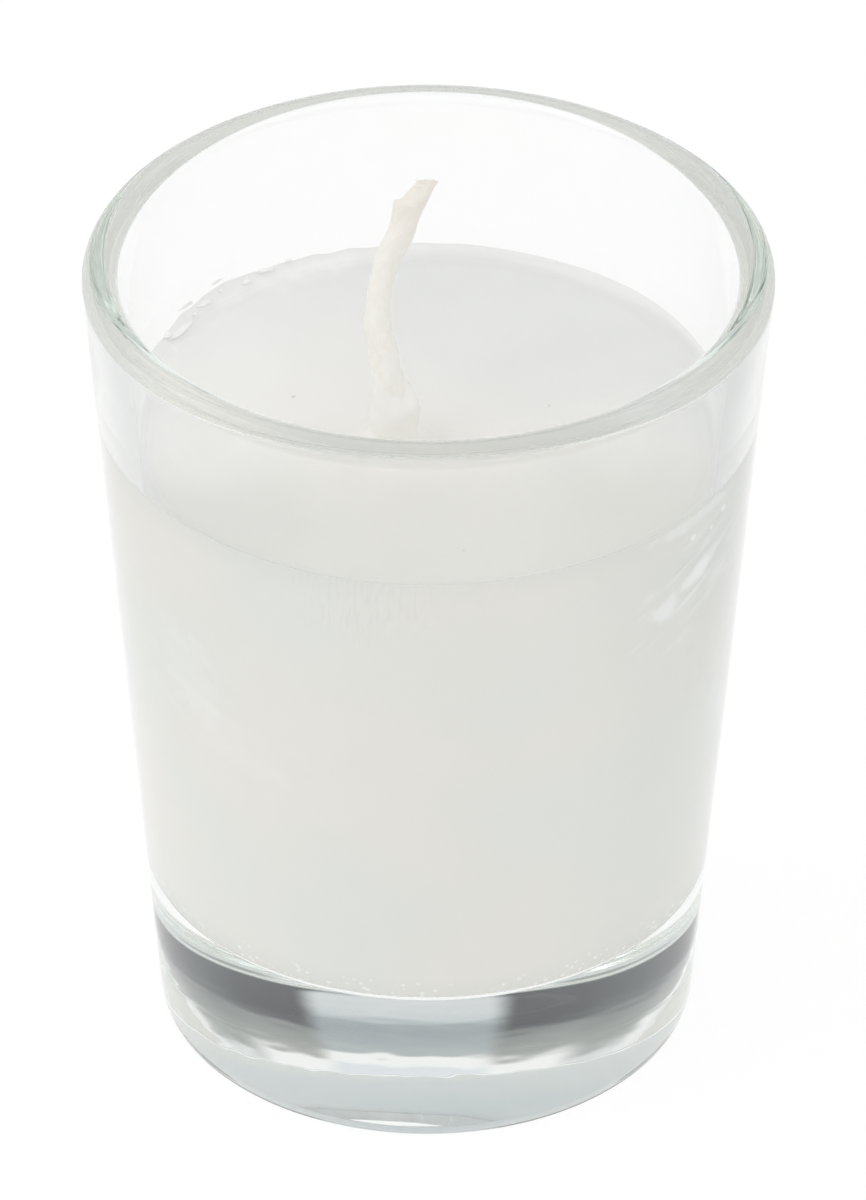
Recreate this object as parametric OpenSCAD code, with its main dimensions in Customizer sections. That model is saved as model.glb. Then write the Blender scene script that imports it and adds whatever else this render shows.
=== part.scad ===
// Unscented candle: white wax and a braided wick in a small tapered drinking-glass shaped cup.
// Millimetres, +Z up, origin on the glass's axis at the table.

/* [Glass] */
// Height of the glass from the table to the top of its lip
glass_h = 65; // [55:1:90]
// Radius of the outer wall where it would meet the top of the lip
rim_r = 25.4; // [22:0.1:32]
// Radius of the outer wall where it would meet the table
foot_r = 20; // [17:0.1:25]
// Wall thickness just below the lip
wall_rim = 2.65; // [1.8:0.05:4]
// Wall thickness where the wall reaches the cavity floor
wall_heel = 2.9; // [1.8:0.05:5]
// Thickness of the solid glass under the wax
base_t = 12; // [6:0.5:20]
// Rounding inside, between the cavity floor and the wall
floor_round = 2; // [0.5:0.1:4]
// Rounding outside, between the wall and the table
heel_round = 1.4; // [0.4:0.1:3]
// Rise of the shallow dome pressed into the underside
punt_h = 1; // [0.3:0.1:3]
// Width of the flat ring that the glass stands on
ring_w = 2; // [0.8:0.1:4]

/* [Wax] */
// Drop from the lip to the wax where its climb up the wall begins
headspace = 13.4; // [8:0.1:25]
// Dip of the wax towards the middle of the glass
dish_d = 0.3; // [0.1:0.05:1]
// Height that the wax climbs up the wall
climb_h = 1.1; // [0.4:0.1:2]
// Angle between the wax and the wall at the top of that climb
climb_a = 22; // [12:1:40]
// Height of the wax collar round the foot of the wick
collar_h = 2.7; // [2.2:0.1:5]
// Thickness of that collar round the wick
collar_t = 0.55; // [0.3:0.05:1.5]
// Radius of the hollow curve between the collar and the wax
collar_flare = 1.2; // [0.5:0.05:1.6]
// Gap that the wax leaves as it shrinks, round its sides and round the pieces in it
shrink = 0.05; // [0.02:0.01:0.15]

/* [Wick] */
// Distance of the wick from the axis of the glass, to the right
wick_x = -2.5; // [-5:0.1:5]
// Distance of the wick from the axis of the glass, to the back
wick_y = -3; // [-5:0.1:5]
// Radius of the waxed wick over its braid
wick_r = 1.05; // [0.6:0.05:1.3]
// Share of its radius that the wick loses by its tip
wick_taper = 0.12; // [0:0.01:0.3]
// Height of the free wick above its collar
wick_free = 14.5; // [6:0.5:22]
// How far back the tip leans
wick_lean = 8; // [0:0.5:12]
// How far right of its foot the tip ends
wick_hook = 2.4; // [-4:0.1:4]
// How strongly the wick bows to the left on its way up
wick_bow = 3.2; // [0:0.1:5]
// Strands that turn each way round the braid
braid_strands = 4; // [2:1:5]
// Rise of a strand in one turn round the wick
braid_pitch = 9; // [6:0.5:16]
// Depth of the grooves between the strands
braid_groove = 0.22; // [0:0.01:0.3]

/* [Wick sustainer] */
// Radius of the stamped disc
tab_r = 7.5; // [5:0.1:9]
// Thickness of its tinned sheet
sheet_t = 0.3; // [0.2:0.05:0.5]
// Distance of the stiffening bead from the wick
bead_x = 5; // [3.5:0.1:5.5]
// Inner radius of the stiffening bead
bead_r = 0.5; // [0.3:0.05:0.8]
// Height of the neck that holds the wick
neck_h = 5; // [3:0.1:8]
// Height of the pinched length in the middle of the neck
pinch_h = 2.2; // [1:0.1:2.6]
// Room round the wick in the open lengths of the neck
neck_room = 0.3; // [0.15:0.01:0.4]
// Room left at the wick where the neck is pinched
pinch_room = 0.05; // [0.02:0.01:0.1]

/* [Hidden] */
$fn = 128;
// The dish and the dome are short arcs of very large circles, so these are drawn finer
fine = 1440;

// Both faces of the wall are cones, so each is a line in the half section
draft_out = atan((rim_r - foot_r) / glass_h);
cavity_rim_r = rim_r - wall_rim;
cavity_heel_r = outer_x(base_t) - wall_heel;
draft_in = atan((cavity_rim_r - cavity_heel_r) / (glass_h - base_t));

// Radius of the outer wall, and of the cavity, at a height
function outer_x(z) = foot_r + z * tan(draft_out);
function cavity_x(z) = cavity_heel_r + (z - base_t) * tan(draft_in);

// The lip is one full round that touches both faces of the wall and the top plane
lip_r = (outer_x(glass_h) - cavity_x(glass_h))
      / (1 / cos(draft_out) + 1 / cos(draft_in) + tan(draft_out) - tan(draft_in));
lip_z = glass_h - lip_r;
lip_x = outer_x(lip_z) - lip_r / cos(draft_out);
lip_outer = [lip_x + lip_r * cos(draft_out), lip_z - lip_r * sin(draft_out)];
lip_inner = [lip_x - lip_r * cos(draft_in), lip_z + lip_r * sin(draft_in)];

// The heel round touches the outer wall and the table
heel_x = outer_x(heel_round) - heel_round / cos(draft_out);
heel_top = [heel_x + heel_round * cos(draft_out), heel_round * (1 - sin(draft_out))];

// The dome under the base is a cap of a large sphere
punt_r = heel_x - ring_w;
punt_sphere_r = (punt_r * punt_r + punt_h * punt_h) / (2 * punt_h);

// The surface of the wax: its level at the wall, its climb and its dish
wax_z = glass_h - headspace;
climb_r = climb_h / (1 - sin(climb_a));
climb_x = cavity_x(wax_z + climb_h) - shrink - climb_r * cos(climb_a);
dish_r = (climb_x * climb_x + dish_d * dish_d) / (2 * dish_d);
above = 2 * glass_h;

// The wick stands on the cavity floor, and leaves its collar at collar_z
collar_z = wax_z + collar_h;
collar_r = wick_r + collar_t;
// The hollow curve starts a little under the dish, so that it meets the wax at an angle
collar_foot_z = wax_z - 1.25 * dish_d;
wick_foot = [wick_x, wick_y, base_t];
wick_path = [
    [0, 0, 0],
    [0, 0, 0.1 * wick_free],
    [-wick_bow, 0.35 * wick_lean, 0.45 * wick_free],
    [wick_hook - wick_bow, 0.66 * wick_lean, 0.69 * wick_free],
    [wick_hook, wick_lean, wick_free],
];
wick_sides = 32;
wick_rings = 96;
// Over this last share of the wick its section turns level, for the straight cut at the tip
cut_from = 0.86;

neck_in = wick_r + neck_room;
neck_out = neck_in + sheet_t;
pinch_in = wick_r + pinch_room;
pinch_out = pinch_in + sheet_t;
pinch_z = (neck_h - pinch_h) / 2;

function mix(a, b, t) = a * (1 - t) + b * t;
function unit(v) = v / norm(v);
function smooth(t) = t <= 0 ? 0 : t >= 1 ? 1 : t * t * (3 - 2 * t);

// A point on the Bezier curve of a list of control points
function bezier(p, t) =
    len(p) == 1 ? p[0] : bezier([for (i = [0:len(p) - 2]) mix(p[i], p[i + 1], t)], t);

// The direction of that curve
function heading(p, t) =
    unit(bezier([for (i = [0:len(p) - 2]) p[i + 1] - p[i]], t));

// Strands turn both ways round the wick. Where two cross, one lies over the other, by turns
// round the wick, so the surface follows the higher of two waves: near 1 on the upper strand,
// near 0 in a groove. The power rounds the crease where one wave passes the other.
over = 0.6;
crease = 4;
function strand(angle, rise, way) =
    (cos(braid_strands * (angle + way * 360 * rise / braid_pitch))
        + way * over * cos(braid_strands * angle) + 1 + over) / (2 + 2 * over);
function braid(angle, rise) =
    pow(pow(strand(angle, rise, 1), crease) + pow(strand(angle, rise, -1), crease), 1 / crease);

// Radius of the free wick at an angle round it and a share of its way up
function strand_r(angle, t) =
    wick_r * (1 - wick_taper * t)
    - braid_groove * smooth(8 * t) * (1 - braid(angle, t * wick_free));

// One ring of points round a centre, square to a direction
function ring(centre, across, radii) =
    let (side = unit(cross([0, 1, 0], across)), back = cross(across, side))
    [for (k = [0:wick_sides - 1])
        let (a = 360 * k / wick_sides)
        centre + radii[k] * (cos(a) * side + sin(a) * back)];

function wick_ring(t) =
    ring([wick_x, wick_y, collar_z] + bezier(wick_path, t),
         unit(mix(heading(wick_path, t), [0, 0, 1], smooth((t - cut_from) / (1 - cut_from)))),
         [for (k = [0:wick_sides - 1]) strand_r(360 * k / wick_sides, t)]);

// Half section of the glass without its cavity, up to the lip's touching points
module blank_half() {
    polygon([[0, 0], [heel_x, 0], heel_top, lip_outer, lip_inner, [0, lip_inner.y]]);
    translate([heel_x, heel_round]) circle(heel_round);
}

// Half section of the cavity, drawn in from its wall by a gap
module cavity_half(gap) {
    wall_top = above;
    round_z = base_t + floor_round;
    round_x = cavity_x(round_z) - floor_round / cos(draft_in) - gap;
    wall_x = round_x + floor_round * cos(draft_in);
    wall_z = round_z - floor_round * sin(draft_in);
    polygon([
        [0, base_t], [round_x, base_t], [wall_x, wall_z],
        [cavity_x(wall_top) - gap, wall_top], [0, wall_top],
    ]);
    translate([round_x, round_z]) circle(floor_round);
}

// Clear pressed glass: tapered wall, rounded lip, thick base with a shallow dome under it
module glass_cup() {
    color([0.80, 0.88, 0.85, 0.35])
    rotate_extrude() {
        difference() {
            blank_half();
            cavity_half(0);
            translate([0, punt_h - punt_sphere_r]) circle(punt_sphere_r, $fn = fine);
        }
        translate([lip_x, lip_z]) circle(lip_r);
    }
}

// Half section of the space over the wax: a shallow dish that curves up beside the wall
module headroom_half() {
    translate([0, wax_z + climb_h]) square([above, above]);
    translate([0, wax_z]) square([climb_x, above]);
    translate([climb_x, wax_z + climb_r]) circle(climb_r);
    intersection() {
        translate([0, wax_z - dish_d + dish_r]) circle(dish_r, $fn = fine);
        translate([0, wax_z - dish_d]) square([climb_x, dish_d + climb_h]);
    }
}

// The collar of wax that the wick drew up round its foot: a sleeve with a round edge and a hollow foot
module collar() {
    edge = collar_t / 2;
    foot_r = collar_r + collar_flare;
    foot_h = wax_z + collar_h - edge - collar_foot_z;
    translate([wick_x, wick_y, collar_foot_z])
    rotate_extrude() {
        difference() {
            union() {
                translate([0, -collar_flare]) square([collar_r, collar_flare + foot_h]);
                translate([0, -collar_flare]) square([foot_r, 2 * collar_flare]);
            }
            translate([foot_r, collar_flare]) circle(collar_flare);
        }
        translate([wick_r, foot_h]) square([edge, edge]);
        translate([wick_r + edge, foot_h]) circle(edge);
    }
}

// Poured white wax, with a channel for the wick and a pocket for its sustainer
module wax_fill() {
    color([0.93, 0.92, 0.89])
    difference() {
        union() {
            rotate_extrude()
            difference() {
                cavity_half(shrink);
                headroom_half();
            }
            collar();
        }
        translate(wick_foot) {
            cylinder(h = collar_z, r = wick_r + shrink);
            cylinder(h = sheet_t + shrink, r = tab_r + shrink);
            cylinder(h = neck_h + shrink, r = neck_out + shrink);
            bead(bead_r + sheet_t + shrink);
        }
    }
}

// A round bead in the disc, as the upper half of a ring of the given section
module bead(r) {
    rotate_extrude()
    intersection() {
        translate([bead_x, 0]) circle(r);
        translate([bead_x - r, 0]) square([2 * r, r]);
    }
}

// Braided cotton wick: straight in the wax, then bent back and to the right up to its level cut
module wick() {
    plain = [for (k = [0:wick_sides - 1]) wick_r];
    rings = concat(
        [ring(wick_foot, [0, 0, 1], plain)],
        [for (i = [0:wick_rings]) wick_ring(i / wick_rings)]
    );
    last = len(rings) - 1;
    points = [for (r = rings) each r];
    sides = [for (i = [0:last - 1], k = [0:wick_sides - 1])
        let (
            a = i * wick_sides + k,
            b = i * wick_sides + (k + 1) % wick_sides,
            c = b + wick_sides,
            d = a + wick_sides
        )
        each [[a, c, b], [a, d, c]]];
    foot_end = [for (k = [0:wick_sides - 1]) k];
    tip_end = [for (k = [wick_sides - 1:-1:0]) last * wick_sides + k];
    color([0.93, 0.90, 0.83])
    polyhedron(points = points, faces = concat(sides, [foot_end, tip_end]), convexity = 4);
}

// Flat-sided section of the neck, for the outside or the inside of the sheet
module pinched(r, half_width) {
    intersection() {
        circle(r);
        square([2 * half_width, 4 * r], center = true);
    }
}

// Stamped tinned-steel disc that stands on the cavity floor and grips the wick in its neck
module wick_sustainer() {
    color([0.72, 0.73, 0.74])
    translate(wick_foot) {
        difference() {
            union() {
                cylinder(h = sheet_t, r = tab_r);
                bead(bead_r + sheet_t);
                cylinder(h = pinch_z, r = neck_out);
            }
            bead(bead_r);
            cylinder(h = pinch_z, r = neck_in);
        }
        translate([0, 0, pinch_z])
            linear_extrude(pinch_h)
            difference() {
                pinched(neck_out, pinch_out);
                pinched(neck_in, pinch_in);
            }
        translate([0, 0, pinch_z + pinch_h])
        difference() {
            cylinder(h = pinch_z, r = neck_out);
            cylinder(h = pinch_z, r = neck_in);
        }
    }
}

glass_cup();
wax_fill();
wick();
wick_sustainer();
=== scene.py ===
# Unscented candle: white wax and a waxed cotton wick in a small tapered clear glass.
# Shapes are worked out in millimetres, as in the solids, and the meshes are made in metres.
import math
import bpy
import numpy as np
from mathutils import Matrix, Vector


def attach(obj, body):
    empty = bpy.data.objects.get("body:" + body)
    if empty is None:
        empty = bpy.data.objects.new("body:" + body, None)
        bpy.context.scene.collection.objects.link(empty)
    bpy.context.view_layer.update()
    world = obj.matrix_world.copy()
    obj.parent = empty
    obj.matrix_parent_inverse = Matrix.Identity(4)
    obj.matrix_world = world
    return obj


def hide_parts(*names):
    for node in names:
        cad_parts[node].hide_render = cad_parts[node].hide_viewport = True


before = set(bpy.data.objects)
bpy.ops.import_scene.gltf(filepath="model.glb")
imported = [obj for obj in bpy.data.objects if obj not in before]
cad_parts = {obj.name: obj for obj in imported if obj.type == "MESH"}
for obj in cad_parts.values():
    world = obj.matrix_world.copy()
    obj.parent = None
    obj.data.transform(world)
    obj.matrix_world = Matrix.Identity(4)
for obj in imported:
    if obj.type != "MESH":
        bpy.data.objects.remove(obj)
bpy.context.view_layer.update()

millimetre = 0.001
white = (1.0, 1.0, 1.0, 1.0)


# helpers for meshes

def smoothStep(t):
    t = np.clip(t, 0.0, 1.0)
    return t * t * (3.0 - 2.0 * t)


def turnAngles(count):
    return 2.0 * math.pi * np.arange(count) / count


def ringPoints(radius, angle, z, x=0.0, y=0.0):
    # points round an upright line at x, y
    level = np.broadcast_to(z, angle.shape)
    return np.stack([x + radius * np.cos(angle), y + radius * np.sin(angle), level], 1)


def unitRows(rows):
    return rows / np.linalg.norm(rows, axis=1)[:, None]


def roundOut(turn, side, back, flat=1.0):
    # directions round a section, from the two that cross it
    return np.cos(turn)[:, None] * side + flat * np.sin(turn)[:, None] * back


def rippleWaves(seed, count, longest, shortest):
    # a handful of plane waves, each with its own heading, length and start
    rng = np.random.default_rng(seed)
    length = longest * (shortest / longest) ** rng.random(count)
    heading = rng.random(count) * 2.0 * math.pi
    start = rng.random(count) * 2.0 * math.pi
    share = (length / longest) ** 0.7    # long waves stand higher than short ones
    return length, heading, start, share / math.sqrt(0.5 * np.sum(share ** 2))


def rippleAt(waves, x, y):
    # the sum of those waves at points x, y: about 1 high at its crests
    length, heading, start, share = waves
    total = np.zeros(np.broadcast(x, y).shape)
    for i in range(len(length)):
        along = x * math.cos(heading[i]) + y * math.sin(heading[i])
        total = total + share[i] * np.sin(2.0 * math.pi * along / length[i] + start[i])
    return total


def linePoints(a, b, count):
    # from a up to, not onto, b
    t = np.arange(count) / count
    return [((1 - s) * a[0] + s * b[0], (1 - s) * a[1] + s * b[1]) for s in t]


def arcPoints(centre, radius, start, end, count):
    # degrees, from start up to, not onto, end
    angles = np.radians(start + (end - start) * np.arange(count) / count)
    return [(centre[0] + radius * math.cos(a), centre[1] + radius * math.sin(a)) for a in angles]


def skinRings(rings, looped=False, poles=None, slots=None):
    # rings is an array of rings x sides x 3 in mm. The skin closes on itself, or on two pole points.
    ringCount, sides = rings.shape[:2]
    points = rings.reshape(-1, 3)
    k = np.arange(sides)
    after = (k + 1) % sides
    faces, faceSlots = [], []
    for i in range(ringCount if looped else ringCount - 1):
        low, high = i * sides, ((i + 1) % ringCount) * sides
        faces.append(np.stack([low + k, low + after, high + after, high + k], 1))
        faceSlots.append(np.full(sides, 0 if slots is None else slots[i]))
    faces = np.concatenate(faces).tolist()
    faceSlots = np.concatenate(faceSlots).tolist()
    if poles is not None:
        first, last = len(points), len(points) + 1
        points = np.concatenate([points, np.array(poles, float)])
        top = (ringCount - 1) * sides
        faces += [[first, int(after[j]), j] for j in range(sides)]
        faces += [[last, top + j, top + int(after[j])] for j in range(sides)]
        faceSlots += [0 if slots is None else slots[0]] * sides
        faceSlots += [0 if slots is None else slots[-1]] * sides
    return points, faces, faceSlots


def addObject(name, data):
    item = bpy.data.objects.new(name, data)
    bpy.context.scene.collection.objects.link(item)
    return item


def makePiece(name, parts, materials):
    # joins skins into one object. Each part is points in mm, faces and face slots.
    points, faces, faceSlots = [], [], []
    for partPoints, partFaces, partSlots in parts:
        shift = sum(len(p) for p in points)
        points.append(np.asarray(partPoints, float))
        faces += [[i + shift for i in face] for face in partFaces]
        faceSlots += list(partSlots)
    mesh = bpy.data.meshes.new(name)
    mesh.from_pydata((np.concatenate(points) * millimetre).tolist(), [], faces)
    for material in materials:
        mesh.materials.append(material)
    mesh.polygons.foreach_set("material_index", faceSlots)
    mesh.polygons.foreach_set("use_smooth", [True] * len(faces))
    mesh.update()
    return addObject(name, mesh)


# helpers for materials

def addNode(tree, kind, inputs=None, **settings):
    # inputs go by socket name or number, and take a number, a colour or another node's socket
    node = tree.nodes.new("ShaderNode" + kind)
    for key, value in settings.items():
        setattr(node, key, value)
    for key, value in (inputs or {}).items():
        if isinstance(value, bpy.types.NodeSocket):
            tree.links.new(value, node.inputs[key])
        else:
            node.inputs[key].default_value = value
    return node


def ease(tree, value, low, high, lowResult=0.0, highResult=1.0):
    # eases from one result to the other while value goes from low to high
    node = addNode(tree, "MapRange", {
        "Value": value, "From Min": low, "From Max": high,
        "To Min": lowResult, "To Max": highResult,
    }, interpolation_type="SMOOTHSTEP")
    return node.outputs["Result"]


def mathNode(tree, operation, a, b=0.0, clamp=False):
    node = addNode(tree, "Math", {0: a, 1: b}, operation=operation, use_clamp=clamp)
    return node.outputs[0]


def times(tree, a, b):
    return mathNode(tree, "MULTIPLY", a, b)


def plus(tree, a, b):
    return mathNode(tree, "ADD", a, b)


def minus(tree, a, b):
    return mathNode(tree, "SUBTRACT", a, b)


def mixColours(tree, factor, a, b):
    # sockets 6 and 7 are the node's two colours
    node = addNode(tree, "Mix", {0: factor, 6: a, 7: b}, data_type="RGBA")
    return node.outputs[2]


def newMaterial(name):
    # a material, its tree, and object coordinates, which are the frame's own, turned into millimetres
    material = bpy.data.materials.new(name)
    material.use_nodes = True
    tree = material.node_tree
    tree.nodes.clear()
    where = addNode(tree, "TexCoord").outputs["Object"]
    place = addNode(tree, "VectorMath", {0: where, 1: (1 / millimetre,) * 3}, operation="MULTIPLY")
    return material, tree, place.outputs[0]


def splitPlace(tree, place):
    # x, y and z
    return tuple(addNode(tree, "SeparateXYZ", {0: place}).outputs)


def awayFrom(tree, place, x=0.0, y=0.0):
    # the distance from an upright line at x, y
    flat = addNode(tree, "VectorMath", {0: place, 1: (1.0, 1.0, 0.0)}, operation="MULTIPLY")
    away = addNode(tree, "VectorMath", {0: flat.outputs[0], 1: (x, y, 0.0)}, operation="DISTANCE")
    return away.outputs["Value"]


def noiseAt(tree, place, size, detail=2.0, stretch=(1.0, 1.0, 1.0)):
    # noise whose lumps are about size millimetres across
    scaled = addNode(tree, "Mapping", {"Vector": place, "Scale": stretch})
    node = addNode(tree, "TexNoise", {
        "Vector": scaled.outputs[0], "Scale": 1.0 / size, "Detail": detail, "Roughness": 0.5})
    return node.outputs["Fac"]


def addShader(tree, inputs, **settings):
    body = addNode(tree, "BsdfPrincipled", inputs, **settings)
    addNode(tree, "OutputMaterial", {"Surface": body.outputs[0]})


# the glass

glass = {
    "height": 65.0, "rimRadius": 25.4, "footRadius": 20.0,
    "wallAtRim": 2.65, "wallAtFloor": 2.9, "baseThickness": 12.0,
    "floorRound": 2.0, "heelRound": 1.4, "domeRise": 1.0, "standingRing": 2.0,
    "wetFilm": 0.02,        # the floor is this much higher, so that it takes in what stands on it
    "wallRipple": 0.02,     # waves pressed into the wall, and their lengths
    "rippleLengths": (34.0, 11.0), "rippleRadius": 20.0,
    # where those waves begin above the foot and how softly, then the same below the lip
    "wallCalm": (1.4, 4.0, 1.3, 5.0),
    "cavityCalm": (14.0, 3.0, 1.3, 4.0),
    "underRipple": 0.0022,  # fine waves left by the mould under the base
    "underLengths": (5.0, 1.6),
    "underCalm": 6.0,       # they die out this far from the standing ring
    "lipBlur": 0.05, "smudge": 0.03,   # roughness at the lip and in smudges
    "sides": 320,
    "ior": 1.52,
    "colour": (0.974, 0.978, 0.974, 1.0),
    # the painted shade along the top of the lip in front
    "paintedLipShade": (0.74, 0.75, 0.74, 1.0),
    "straightThrough": (0.985, 0.99, 0.985, 1.0),
    "tint": (0.81, 0.93, 0.84, 1.0),
    "tintDensity": 4.5,     # per metre of glass
}

draftOut = math.atan((glass["rimRadius"] - glass["footRadius"]) / glass["height"])
floorRadius = glass["footRadius"] + glass["baseThickness"] * math.tan(draftOut) - glass["wallAtFloor"]
cavityDepth = glass["height"] - glass["baseThickness"]
draftIn = math.atan((glass["rimRadius"] - glass["wallAtRim"] - floorRadius) / cavityDepth)


def outerX(z):
    return glass["footRadius"] + z * math.tan(draftOut)


def cavityX(z):
    return floorRadius + (z - glass["baseThickness"]) * math.tan(draftIn)


wallWaves = rippleWaves(11, 9, *glass["rippleLengths"])
cavityWaves = rippleWaves(12, 9, *glass["rippleLengths"])
underWaves = rippleWaves(13, 26, *glass["underLengths"])


def waveShare(z, calm):
    # 0 near the foot and the lip, 1 between them
    low, lowEase, high, highEase = calm
    return smoothStep((z - low) / lowEase) * smoothStep((glass["height"] - high - z) / highEase)


def wallRipple(waves, angle, z, slantX, slantY):
    # how far a wall stands out from its cone. The waves wander as they rise, by the two slants.
    around = glass["rippleRadius"]
    wave = rippleAt(waves, around * np.cos(angle) + slantX * z, around * np.sin(angle) + slantY * z)
    return glass["wallRipple"] * wave


def cavityRipple(angle, z):
    # the same for the inside, which the wax follows
    return wallRipple(cavityWaves, angle, z, 0.35, 0.6)


def glassProfile():
    # the outline from the middle of the dome, out and up over the lip, to the middle of the floor
    cosOut, sinOut = math.cos(draftOut), math.sin(draftOut)
    cosIn, sinIn = math.cos(draftIn), math.sin(draftIn)
    wallAtTop = outerX(glass["height"]) - cavityX(glass["height"])
    lipRadius = wallAtTop / (1 / cosOut + 1 / cosIn + math.tan(draftOut) - math.tan(draftIn))
    lipZ = glass["height"] - lipRadius
    lipX = outerX(lipZ) - lipRadius / cosOut
    outTilt, inTilt = math.degrees(draftOut), math.degrees(draftIn)
    heelRound, floorRound, rise = glass["heelRound"], glass["floorRound"], glass["domeRise"]
    heelX = outerX(heelRound) - heelRound / cosOut
    domeX = heelX - glass["standingRing"]
    domeSphere = (domeX ** 2 + rise ** 2) / (2 * rise)
    domeEnd = math.degrees(math.asin(domeX / domeSphere))
    wetFloor = glass["baseThickness"] + glass["wetFilm"]
    roundZ = wetFloor + floorRound
    roundX = cavityX(roundZ) - floorRound / cosIn
    heelTop = (heelX + heelRound * cosOut, heelRound * (1 - sinOut))
    lipOut = (lipX + lipRadius * cosOut, lipZ - lipRadius * sinOut)
    lipIn = (lipX - lipRadius * cosIn, lipZ + lipRadius * sinIn)
    roundIn = (roundX + floorRound * cosIn, roundZ - floorRound * sinIn)
    pieces = (
        (arcPoints((0, rise - domeSphere), domeSphere, 90, 90 - domeEnd, 60)[1:], "under"),
        (linePoints((domeX, 0), (heelX, 0), 4), "ring"),
        (arcPoints((heelX, heelRound), heelRound, -90, -outTilt, 16), "heel"),
        (linePoints(heelTop, lipOut, 44), "wall"),
        (arcPoints((lipX, lipZ), lipRadius, -outTilt, 180 - inTilt, 88), "lip"),
        (linePoints(lipIn, roundIn, 42), "cavity"),
        (arcPoints((roundX, roundZ), floorRound, -inTilt, -90, 14), "floor"),
        (linePoints((roundX, wetFloor), (0, wetFloor), 26), "floor"),
    )
    return [(x, z, kind) for points, kind in pieces for x, z in points], domeX


def glassSkin():
    profile, domeX = glassProfile()
    angle = turnAngles(glass["sides"])
    rings = []
    for x, z, kind in profile:
        radius, level = x, z
        if kind == "wall":
            radius = x + waveShare(z, glass["wallCalm"]) * wallRipple(wallWaves, angle, z, 0.5, 0.7)
        if kind == "cavity":
            radius = x + waveShare(z, glass["cavityCalm"]) * cavityRipple(angle, z)
        if kind == "under":
            wave = rippleAt(underWaves, x * np.cos(angle), x * np.sin(angle))
            level = z + smoothStep((domeX - x) / glass["underCalm"]) * glass["underRipple"] * wave
        rings.append(ringPoints(radius, angle, level))
    poles = [(0, 0, glass["domeRise"]), (0, 0, glass["baseThickness"] + glass["wetFilm"])]
    return skinRings(np.array(rings), poles=poles)


def glassMaterial():
    # clear soda glass. Lamps and scattered light pass straight through, so that the wax in it is lit evenly.
    material, tree, place = newMaterial("clearGlass")
    y, height = splitPlace(tree, place)[1:]
    # painted shade: a thin grey line is painted along the top of the lip in front
    lipTop = ease(tree, height, glass["height"] - 0.9, glass["height"] - 0.3)
    lipTop = times(tree, lipTop, ease(tree, y, -24.0, -16.0, 1.0, 0.0))
    colour = mixColours(tree, lipTop, glass["colour"], glass["paintedLipShade"])
    # the fire-polished lip is softer in what it mirrors
    lip = ease(tree, height, glass["height"] - 3.0, glass["height"] - 1.6, 0.0, glass["lipBlur"])
    smudges = ease(tree, noiseAt(tree, place, 8.0, 1.5), 0.58, 0.75, 0.0, glass["smudge"])
    body = addNode(tree, "BsdfPrincipled", {
        "Base Color": colour, "Roughness": plus(tree, smudges, lip), "IOR": glass["ior"],
        "Transmission Weight": 1.0})
    clear = addNode(tree, "BsdfTransparent", {"Color": glass["straightThrough"]})
    rays = addNode(tree, "LightPath")
    forScatter = addNode(tree, "MixShader", {
        0: rays.outputs["Is Diffuse Ray"], 1: body.outputs[0], 2: clear.outputs[0]})
    forLamps = addNode(tree, "MixShader", {
        0: rays.outputs["Is Shadow Ray"], 1: forScatter.outputs[0], 2: clear.outputs[0]})
    tint = addNode(tree, "VolumeAbsorption", {
        "Color": glass["tint"], "Density": glass["tintDensity"]})
    addNode(tree, "OutputMaterial", {"Surface": forLamps.outputs[0], "Volume": tint.outputs[0]})
    return material


glassCup = makePiece("glassCup", [glassSkin()], [glassMaterial()])
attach(glassCup, "root")
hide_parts("glass_cup")
print("glass made:", len(glassCup.data.polygons), "faces")


# the wick's path comes before the wax, whose collar follows it

wick = {
    "x": -2.5, "y": -3.0, "bottom": 12.0, "top": 68.8, "radius": 1.02,
    # the middle of the wick from its collar to its tip, and its half width there
    "path": (
        (-2.50, -3.00, 52.0, 1.05), (-2.52, -2.98, 54.3, 1.12), (-2.86, -2.60, 55.9, 1.17),
        (-3.30, -1.50, 58.1, 1.10), (-3.68, -0.72, 59.5, 1.03), (-3.68, -0.05, 60.6, 0.97),
        (-3.58, 0.69, 61.9, 0.90), (-3.45, 1.05, 62.5, 0.89), (-3.14, 1.75, 63.6, 0.96),
        (-2.60, 2.37, 64.6, 1.02), (-2.06, 2.94, 65.5, 1.00), (-1.70, 3.50, 66.4, 0.98),
        (-1.28, 4.00, 67.2, 0.94), (-0.92, 4.28, 67.7, 0.86), (-0.55, 4.62, 68.2, 0.84),
        (-0.12, 4.95, 68.72, 0.83),
    ),
    "strands": 4, "strandPitch": 9.0, "strandDepth": 0.10, "yarnsPerStrand": 5, "yarnDepth": 0.024,
    "sides": 128, "rings": 460,
    "cutFrom": 0.90,          # over this last share the section turns level, for the straight cut
    "lumpAt": 0.885,          # a loop of cotton that stands out on the left near the tip
    "lumpSize": 0.5,
    "tipFlat": 0.6,           # the cut end is pinched to a flat edge
    "strayFibres": 46, "tipFibres": 18,
    "fibreWidth": 0.014, "tipFibreWidth": 0.022,
    "yarnDark": (0.945, 0.912, 0.85, 1.0), "yarnLight": (0.97, 0.945, 0.895, 1.0),
    "tipColour": (0.93, 0.888, 0.82, 1.0), "coatColour": (0.975, 0.96, 0.93, 1.0),
}


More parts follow.
